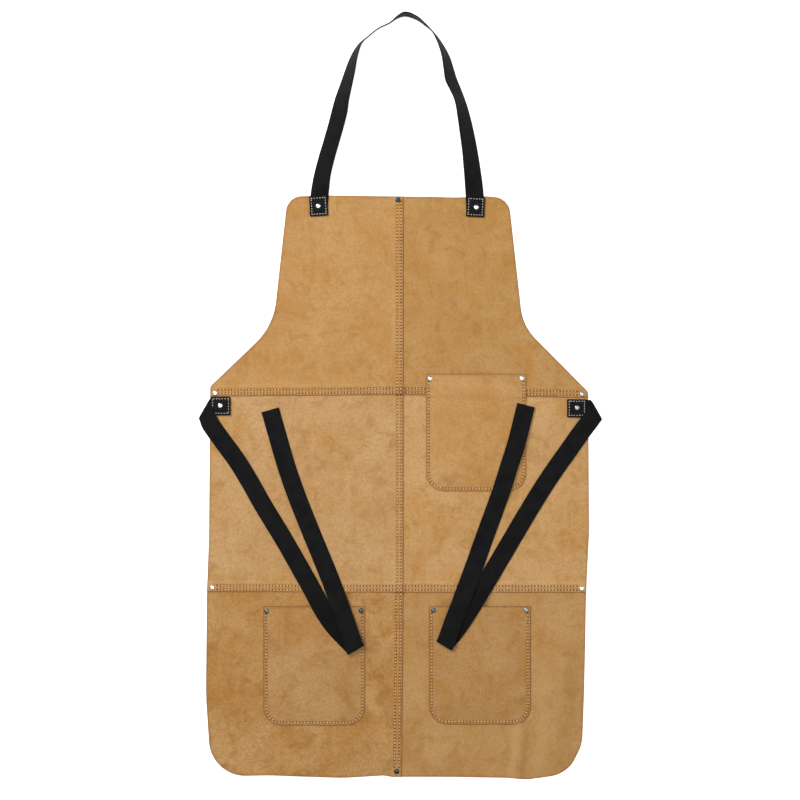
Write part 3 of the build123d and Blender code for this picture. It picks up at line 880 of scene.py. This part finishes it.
for seed, name in enumerate(POCKET_PLACES):
    low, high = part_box(name)
    loop = rounded_box(low.x, high.x, low.y, high.y, POCKET_CORNER)
    material = suede(f"{name}_suede", *LEATHERS[name], seed + 11)
    inner = rounded_box(low.x + 12 * MM, high.x - 12 * MM, low.y + 12 * MM, high.y, POCKET_CORNER / 2)
    row = pocket_rows[name]
    pocket = leather_sheet(f"{name}_leather", loop, pocket_under(name), material, [row], (), [inner])
    declare_leather(pocket, name, "pocket_leather", loop, rests_on=[panels[POCKET_PLACES[name]]])
    sewn(f"{name}_stitches", [row], f"{name}_thread")

# -------- webbing


def curve_through(points, step):
    """Evenly spaced points on a smooth curve through the given ones."""
    points = np.array(points, float)
    at = travelled(points[:, :2])
    slopes = np.gradient(points, at, axis=0)
    where = np.linspace(0, at[-1], max(3, round(at[-1] / step) + 1))
    k = np.clip(np.searchsorted(at, where, side="right") - 1, 0, len(at) - 2)
    width = (at[k + 1] - at[k])[:, None]
    t = (where - at[k])[:, None] / width
    first, last = points[k], points[k + 1]
    near, far = slopes[k] * width, slopes[k + 1] * width
    return (
        first * (2 * t**3 - 3 * t**2 + 1)
        + near * (t**3 - 2 * t**2 + t)
        + last * (3 * t**2 - 2 * t**3)
        + far * (t**3 - t**2)
    )


def strap(name, left, right, material, shaded=0.0):
    """Flat webbing between two edge lines, with rounded selvedges and faint lengthwise ribs. shaded is
    how much darker its last stretch is."""
    middle = (left + right) / 2
    way = unit(np.gradient(middle, axis=0))
    reach = right - left
    face = unit(np.cross(reach, way))
    distance = travelled(middle)
    even = np.linspace(0, 1, 25)
    shares = 0.35 * (1 - np.cos(even * math.pi)) / 2 + 0.65 * even  # closer together at the selvedges
    half = WEBBING / 2 * (1 - 0.62 * abs(2 * shares - 1) ** 14)
    half = half + RIB_HEIGHT * np.cos(shares * 2 * math.pi * RIBS)
    vertices, along, across = [], [], []
    for i in range(len(middle)):
        for sign in (1, -1):
            for share, thick in zip(shares[::sign], half[::sign]):
                place = left[i] + reach[i] * share
                vertices.append(place + face[i] * (sign * thick))
                offset = place - middle[i]
                slide = offset @ way[i]
                along.append(distance[i] + slide)
                apart = math.sqrt(max(offset @ offset - slide**2, 0.0))
                across.append(math.copysign(apart, share - 0.5) + STRAP)
    ring = 2 * len(shares)
    faces = []
    for i in range(len(middle) - 1):
        for k in range(ring):
            j = (k + 1) % ring
            faces.append((i * ring + j, i * ring + k, (i + 1) * ring + k, (i + 1) * ring + j))
    faces.append(tuple(range(ring)))
    faces.append(tuple((len(middle) - 1) * ring + k for k in range(ring))[::-1])
    along = np.array(along)
    dim = shaded * smooth((along - distance[-1] + SHADED_LENGTH) / SHADED_LENGTH)
    attributes = (("along", along), ("across", across), ("shaded", dim))
    return make_object(name, vertices, faces, material, attributes)


def resting(left, right, step, reach=9 * MM):
    """Heights at which a strap's two edges rest on what is laid below, without cutting into it."""
    lines = [left + (right - left) * share for share in np.linspace(0, 1, 9)]
    samples = np.array([[height_at(*place) for place in line] for line in lines])
    result = []
    span = max(1, round(reach / step))
    kernel = np.exp(-0.5 * (np.arange(-2 * span, 2 * span + 1) / (0.6 * span)) ** 2)
    kernel /= kernel.sum()
    for part in (samples[:6], samples[3:]):
        high = part.max(0)
        padded = np.pad(high, span, mode="edge")
        high = np.array([padded[i : i + 2 * span + 1].max() for i in range(len(high))])
        high = np.convolve(np.pad(high, 2 * span, mode="edge"), kernel, mode="valid")
        result.append(high + WEBBING / 2 + CLEAR)
    return result


STEP = 2.5 * MM
black_webbing = webbing()
patch_leather = black_leather()

# Neck loop: middle of the webbing and its roll, from flat (0) to standing on edge (90)
NECK_ROUTE = (
    (-0.1265, 0.2815, 0), (-0.1262, 0.2960, 0), (-0.1250, 0.3110, 2), (-0.1232, 0.3262, 12),
    (-0.1210, 0.3400, 20), (-0.1145, 0.3670, 25), (-0.1062, 0.3955, 27), (-0.0976, 0.4262, 27),
    (-0.0938, 0.4415, 28), (-0.0905, 0.4574, 36), (-0.0862, 0.4728, 43), (-0.0817, 0.4883, 49),
    (-0.0777, 0.5027, 54), (-0.0738, 0.5171, 61), (-0.0687, 0.5313, 69), (-0.0612, 0.5450, 78),
    (-0.0495, 0.5553, 82), (-0.0343, 0.5673, 82), (-0.0155, 0.5768, 83), (-0.0055, 0.5845, 88),
    (0.0050, 0.5893, 94), (0.0252, 0.5834, 92), (0.0374, 0.5740, 88), (0.0486, 0.5635, 83),
    (0.0622, 0.5420, 72), (0.0698, 0.5237, 62), (0.0744, 0.5046, 54), (0.0780, 0.4893, 48),
    (0.0846, 0.4744, 51), (0.0900, 0.4615, 53), (0.0941, 0.4481, 50), (0.0971, 0.4346, 45),
    (0.1027, 0.4052, 36), (0.1077, 0.3741, 29), (0.1096, 0.3587, 23), (0.1115, 0.3430, 18),
    (0.1131, 0.3275, 10), (0.1145, 0.3110, 2), (0.1153, 0.2950, 0), (0.1158, 0.2805, 0),
)


def neck_strap():
    """One strap from patch to patch, standing on its outer edge round the far end of the loop."""
    route = curve_through(NECK_ROUTE, STEP)
    inward = -square_to(unit(np.gradient(route[:, :2], axis=0)))
    roll = np.radians(route[:, 2])
    half = STRAP / 2 * np.column_stack([inward * np.cos(roll)[:, None], np.sin(roll)])
    on_bib = smooth((0.345 - route[:, 1]) / 0.035)
    rest = STRAP / 2 * np.sin(roll) + WEBBING / 2 * np.abs(np.cos(roll)) + 0.1 * MM
    middle = np.column_stack([route[:, :2], rest + on_bib * (LEATHER + relief(route[:, 0], route[:, 1]))])
    piece = strap("neck_strap_webbing", middle - half, middle + half, black_webbing)
    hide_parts("neck_strap_loop", "neck_strap_end_left", "neck_strap_end_right")
    lay(piece)
    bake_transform(piece)


neck_strap()

# Ties: the fold line beside the patch (of its lower layer, then of its upper one) and the turn-back
# line, each from the outer edge of the strap to its inner edge, and the middle of the webbing in
# between and on the free tail
FOLD_RADIUS = 2.0 * MM
TURN_RADIUS = 2.6 * MM
FOLD_FALL = 14  # the run comes down off the fold by one in this
FOLD_START = 0.0870  # y at which it would reach the floor
TIES = {
    "left": {
        "under_patch": ((-0.2640, -0.0283), (-0.2640, -0.0003)),
        "fold": ((-0.3068, -0.0270), (-0.2938, -0.0001)),
        "fold_over": ((-0.3134, -0.0330), (-0.2962, -0.0055)),
        "run": (
            (-0.2958, -0.0371), (-0.2760, -0.0665), (-0.2525, -0.0985), (-0.2331, -0.1303),
            (-0.2150, -0.1625), (-0.1780, -0.2238), (-0.1425, -0.2862), (-0.1065, -0.3480),
        ),
        "turn": ((-0.0809, -0.3978), (-0.0557, -0.3833)),
        "tail": (
            (-0.0945, -0.3180), (-0.1107, -0.2758), (-0.1376, -0.2101), (-0.1636, -0.1440),
            (-0.1772, -0.1040), (-0.1890, -0.0634), (-0.2014, -0.0198),
        ),
    },
    "right": {
        "under_patch": ((0.2620, -0.0315), (0.2620, -0.0037)),
        "fold": ((0.3094, -0.0310), (0.2940, -0.0029)),
        "fold_over": ((0.3126, -0.0348), (0.2970, -0.0086)),
        "run": (
            (0.2904, -0.0396), (0.2785, -0.0554), (0.2581, -0.0842), (0.2373, -0.1135),
            (0.2176, -0.1434), (0.1989, -0.1739), (0.1531, -0.2515), (0.1160, -0.3130),
            (0.0850, -0.3600),
        ),
        "turn": ((0.0788, -0.3911), (0.0549, -0.3766)),
        "tail": (
            (0.0882, -0.3290), (0.1064, -0.2818), (0.1321, -0.2104), (0.1567, -0.1418),
            (0.1669, -0.1088), (0.1775, -0.0759), (0.1938, -0.0125),
        ),
    },
}


def across_line(line, towards):
    """The direction square to a line of two points, on the side of a given place."""
    square = square_to(unit(line[1] - line[0]))
    return square if square @ (towards - line[0]) > 0 else -square


def edges_of(route, first, last=None, ease=32 * MM):
    """The two edge lines of a flat strap along a route. Its first line, and its last one if given,
    may be slanted, and it turns square to its route within a short distance of them."""
    points = [np.mean(first, axis=0), *route]
    if last is not None:
        points.append(np.mean(last, axis=0))
    middle = curve_through(points, STEP)
    distance = travelled(middle)
    side = square_to(unit(np.gradient(middle, axis=0)))
    if (first[0] - first[1]) @ side[0] < 0:
        side = -side
    for line, apart, end in ((first, distance, 0), (last, distance[-1] - distance, -1)):
        if line is not None:
            slant = (line[0] - line[1]) / STRAP
            slant = slant if slant @ side[end] > 0 else -slant
            share = smooth(apart / ease)[:, None]
            side = side * share + slant * (1 - share)
    return [middle + side * STRAP / 2, middle - side * STRAP / 2]


def turned_over(low, high, out, radius, steps=9):
    """Edge points round a U-turn, from a cross-section in the lower layer to one in the upper."""
    angles = np.linspace(0, math.pi, steps)[1:-1]
    share = (1 - np.cos(angles)) / 2
    bulge = radius * np.sin(angles)
    return [a + (b - a) * share[:, None] + np.r_[out, 0] * bulge[:, None] for a, b in zip(low, high)]


def joined(*parts):
    """Edge lines of consecutive stretches of a strap, end to end."""
    return np.vstack([part[0] for part in parts]), np.vstack([part[1] for part in parts])


def tie(side, places):
    """A tie in two pieces: from its patch over the fold and down the run, and from the turn-back up
    the free tail."""
    under, over, turn = (np.array(places[key]) for key in ("fold", "fold_over", "turn"))
    middle = np.zeros(2)
    out = across_line(over, middle) * -1
    under, over = (line - out * (FOLD_RADIUS + WEBBING / 2) for line in (under, over))
    down = across_line(turn, middle) * -1
    turn = turn - down * (TURN_RADIUS + WEBBING / 2)

    shares = np.linspace(0, 1, 14)[:, None]
    hidden = np.array(places["under_patch"])
    level = LEATHER + WEBBING / 2 + 0.05 * MM
    end = []
    for start, stop in zip(hidden, under):
        line = start + (stop - start) * shares
        end.append(np.column_stack([line, level + relief(*line.T)]))
    run = edges_of(places["run"], over, turn)
    rises = resting(*run, STEP)
    run = [
        np.column_stack([line, np.maximum(rise, (FOLD_START + line[:, 1]) / FOLD_FALL + WEBBING / 2)])
        for line, rise in zip(run, rises)
    ]
    bend = turned_over([line[-1] for line in end], [line[0] for line in run], out, FOLD_RADIUS)
    first = joined(end, bend, run)
    piece = strap(f"{side}_tie_webbing", *first, black_webbing, 0.8)
    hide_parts(f"tie_{side}_end", f"tie_{side}_run")
    lay(piece)

    tail = edges_of(places["tail"], turn)
    rises = resting(*tail, STEP, reach=7 * MM)
    distance = np.arange(len(tail[0])) * STEP
    start = [line[-1][2] for line in run]
    lift = max(start) + 2 * TURN_RADIUS
    near = np.exp(-((distance / (22 * MM)) ** 2))
    rises = [np.maximum(rise, rise * (1 - near) + lift * near) for rise in rises]
    tail = [np.column_stack([line, rise]) for line, rise in zip(tail, rises)]
    back = turned_over([line[-1] for line in run], [line[0] for line in tail], down, TURN_RADIUS)
    second = joined([line[-1:] for line in run], back, tail)
    turnback = strap(f"{side}_tie_tail_webbing", *second, black_webbing)
    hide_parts(f"tie_{side}_tail")
    lay(turnback)

    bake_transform(piece)
    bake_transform(turnback)


# -------- patches

PATCH_STITCH = 4.3 * MM


def patch(name, node):
    """A black leather patch with a square of white stitches."""
    loop = outline(node)
    low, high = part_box(node)
    middle = ((low.x + high.x) / 2, (low.y + high.y) / 2)
    square = inset(respaced(loop, 1 * MM), 3.2 * MM)
    path = np.vstack([square, square[:1]])
    row = needle_holes(path, PATCH_STITCH)

    def under(x, y):
        return relief(x, y) + LEATHER + WEBBING + 0.12 * MM

    def puff(x, y):
        apart = np.hypot(x - middle[0], y - middle[1])
        return 0.35 * MM * np.exp(-(((apart - 0.007) / 0.004) ** 2))

    piece = leather_sheet(name, loop, under, patch_leather, [row], (), [path], 1.1 * MM, puff)
    declare_leather(piece, node, "black_leather", loop)
    return row


for group in ("neck", "tie"):
    rows = [patch(f"{group}_patch_leather_{side}", f"{group}_patch_{side}") for side in ("left", "right")]
    threads = stitches(f"{group}_patch_stitches", rows, white_thread, 0.62 * MM, 0.66)
    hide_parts(f"{group}_patch_threads")
    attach(threads, "apron")

for side, places in TIES.items():
    tie(side, places)

# -------- rivets

# Radius and height along each profile, in millimetres
CAP_PROFILE = (
    (0, 1.3), (1.2, 1.27), (2.2, 1.17), (2.9, 1.0), (3.4, 0.78), (3.8, 0.45), (4, 0.12), (3.8, -0.2),
)
FLANGE_PROFILE = (
    (0, 1.2), (0.75, 1.1), (1, 0.35), (1.5, 0.05), (3.1, 0.02), (3.7, 0.15), (3.8, 0.45), (3.7, 0.7),
)
DULL_CAPS = (  # x, y and shine of the caps whose plating has gone blue or dark
    (-0.004, 0.304, 0.0),
    (-0.006, -0.578, 0.0),
    (0.280, 0.004, 0.48),
    (0.046, 0.028, 0.75),
    (-0.207, -0.331, 0.10),
    (-0.061, -0.330, 0.02),
    (0.051, -0.329, 0.06),
    (0.194, -0.329, 0.26),
    (0.273, -0.017, 0.42),
)


def islands(node):
    """The middle of each separate solid in a CAD node, in x and y."""
    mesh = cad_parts[node].data
    groups = []
    for vertex in mesh.vertices:
        place = np.array(vertex.co[:2])
        for group in groups:
            if np.linalg.norm(place - group[0]) < 12 * MM:
                group.append(place)
                break
        else:
            groups.append([place])
    return [(np.min(group, axis=0) + np.max(group, axis=0)) / 2 for group in groups]


def rivets(name, places, levels, profile, material, up):
    """A turned piece of metal at each place. up is 1 for the front's caps and -1 underneath."""
    around = 40
    vertices, faces, shines = [], [], []
    for (x, y), level in zip(places, levels):
        base = len(vertices)
        dull = [shine for cap_x, cap_y, shine in DULL_CAPS if math.hypot(x - cap_x, y - cap_y) < 5 * MM]
        shines += (dull or [1.0]) * (around * len(profile))
        for radius, height in profile:
            for k in range(around):
                angle = 2 * math.pi * k / around
                out = radius * MM
                vertices.append((x + out * math.cos(angle), y + out * math.sin(angle), level + height * MM))
        for i in range(len(profile) - 1):
            for k in range(around):
                j = (k + 1) % around
                quad = (base + i * around + k, base + (i + 1) * around + k)
                quad += (base + (i + 1) * around + j, base + i * around + j)
                faces.append(quad[::up])
    return make_object(name, vertices, faces, material, (("shine", shines),))


metal = bright_metal()
for group in ("seam", "pocket", "strap"):
    places = islands(f"{group}_rivet_caps")
    caps = rivets(f"{group}_rivet_domes", places, [height_at(*p) for p in places], CAP_PROFILE, metal, 1)
    levels = [depth_at(*p) for p in places]
    flanges = rivets(f"{group}_rivet_flanges", places, levels, FLANGE_PROFILE, metal, -1)
    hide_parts(f"{group}_rivet_caps")
    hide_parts(f"{group}_rivet_posts")
    for piece in (caps, flanges):
        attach(piece, "apron")

# -------- floor, light and camera


def floor():
    """A plain near-white floor."""
    paint = Paint("pale_floor", 0.9, Specular_IOR_Level=0.1)
    grain = paint.noise(0.4, 2.0)
    paint.colour(paint.mix(paint.spread(grain, 0.3, 0.7), (0.92, 0.92, 0.92), (0.94, 0.94, 0.94)))
    paint.shader.inputs["Emission Color"].default_value = (1, 1, 1, 1)
    paint.shader.inputs["Emission Strength"].default_value = 0.75
    reach = 30.0
    corners = [(x * reach, y * reach, -0.5 * MM) for x, y in ((-1, -1), (1, -1), (1, 1), (-1, 1))]
    make_object("studio_floor", corners, [(0, 1, 2, 3)], paint.material)


def soft_light(name, place, aim, size, power):
    """A square studio light."""
    data = bpy.data.lights.new(name, "AREA")
    data.size = size
    data.energy = power
    lamp = bpy.data.objects.new(name, data)
    lamp.location = place
    lamp.rotation_euler = (Vector(aim) - Vector(place)).to_track_quat("-Z", "Y").to_euler()
    bpy.context.scene.collection.objects.link(lamp)


floor()
soft_light("key_light", (-1.5, 1.3, 2.2), (0, 0, 0), 1.0, 47)
soft_light("side_light", (2.1, 0.4, 1.7), (0, 0, 0), 1.4, 9)
soft_light("overhead_light", (0, 0, 4.5), (0, 0, 0), 4.0, 78)
world = bpy.data.worlds.new("studio")
world.use_nodes = True
world.node_tree.nodes["Background"].inputs["Color"].default_value = (1, 1, 1, 1)
world.node_tree.nodes["Background"].inputs["Strength"].default_value = 0.18
bpy.context.scene.world = world
bpy.context.scene.view_settings.view_transform = "Standard"

CAMERA_DISTANCE, FRAME_WIDTH = 3.3, 1.2368
FRAME_CENTRE = (-0.0008, -0.0046)
camera_data = bpy.data.cameras.new("camera")
camera_data.sensor_width = 36
camera_data.lens = camera_data.sensor_width * CAMERA_DISTANCE / FRAME_WIDTH
camera = bpy.data.objects.new("camera", camera_data)
camera.location = (*FRAME_CENTRE, CAMERA_DISTANCE)
bpy.context.scene.collection.objects.link(camera)
bpy.context.scene.camera = camera
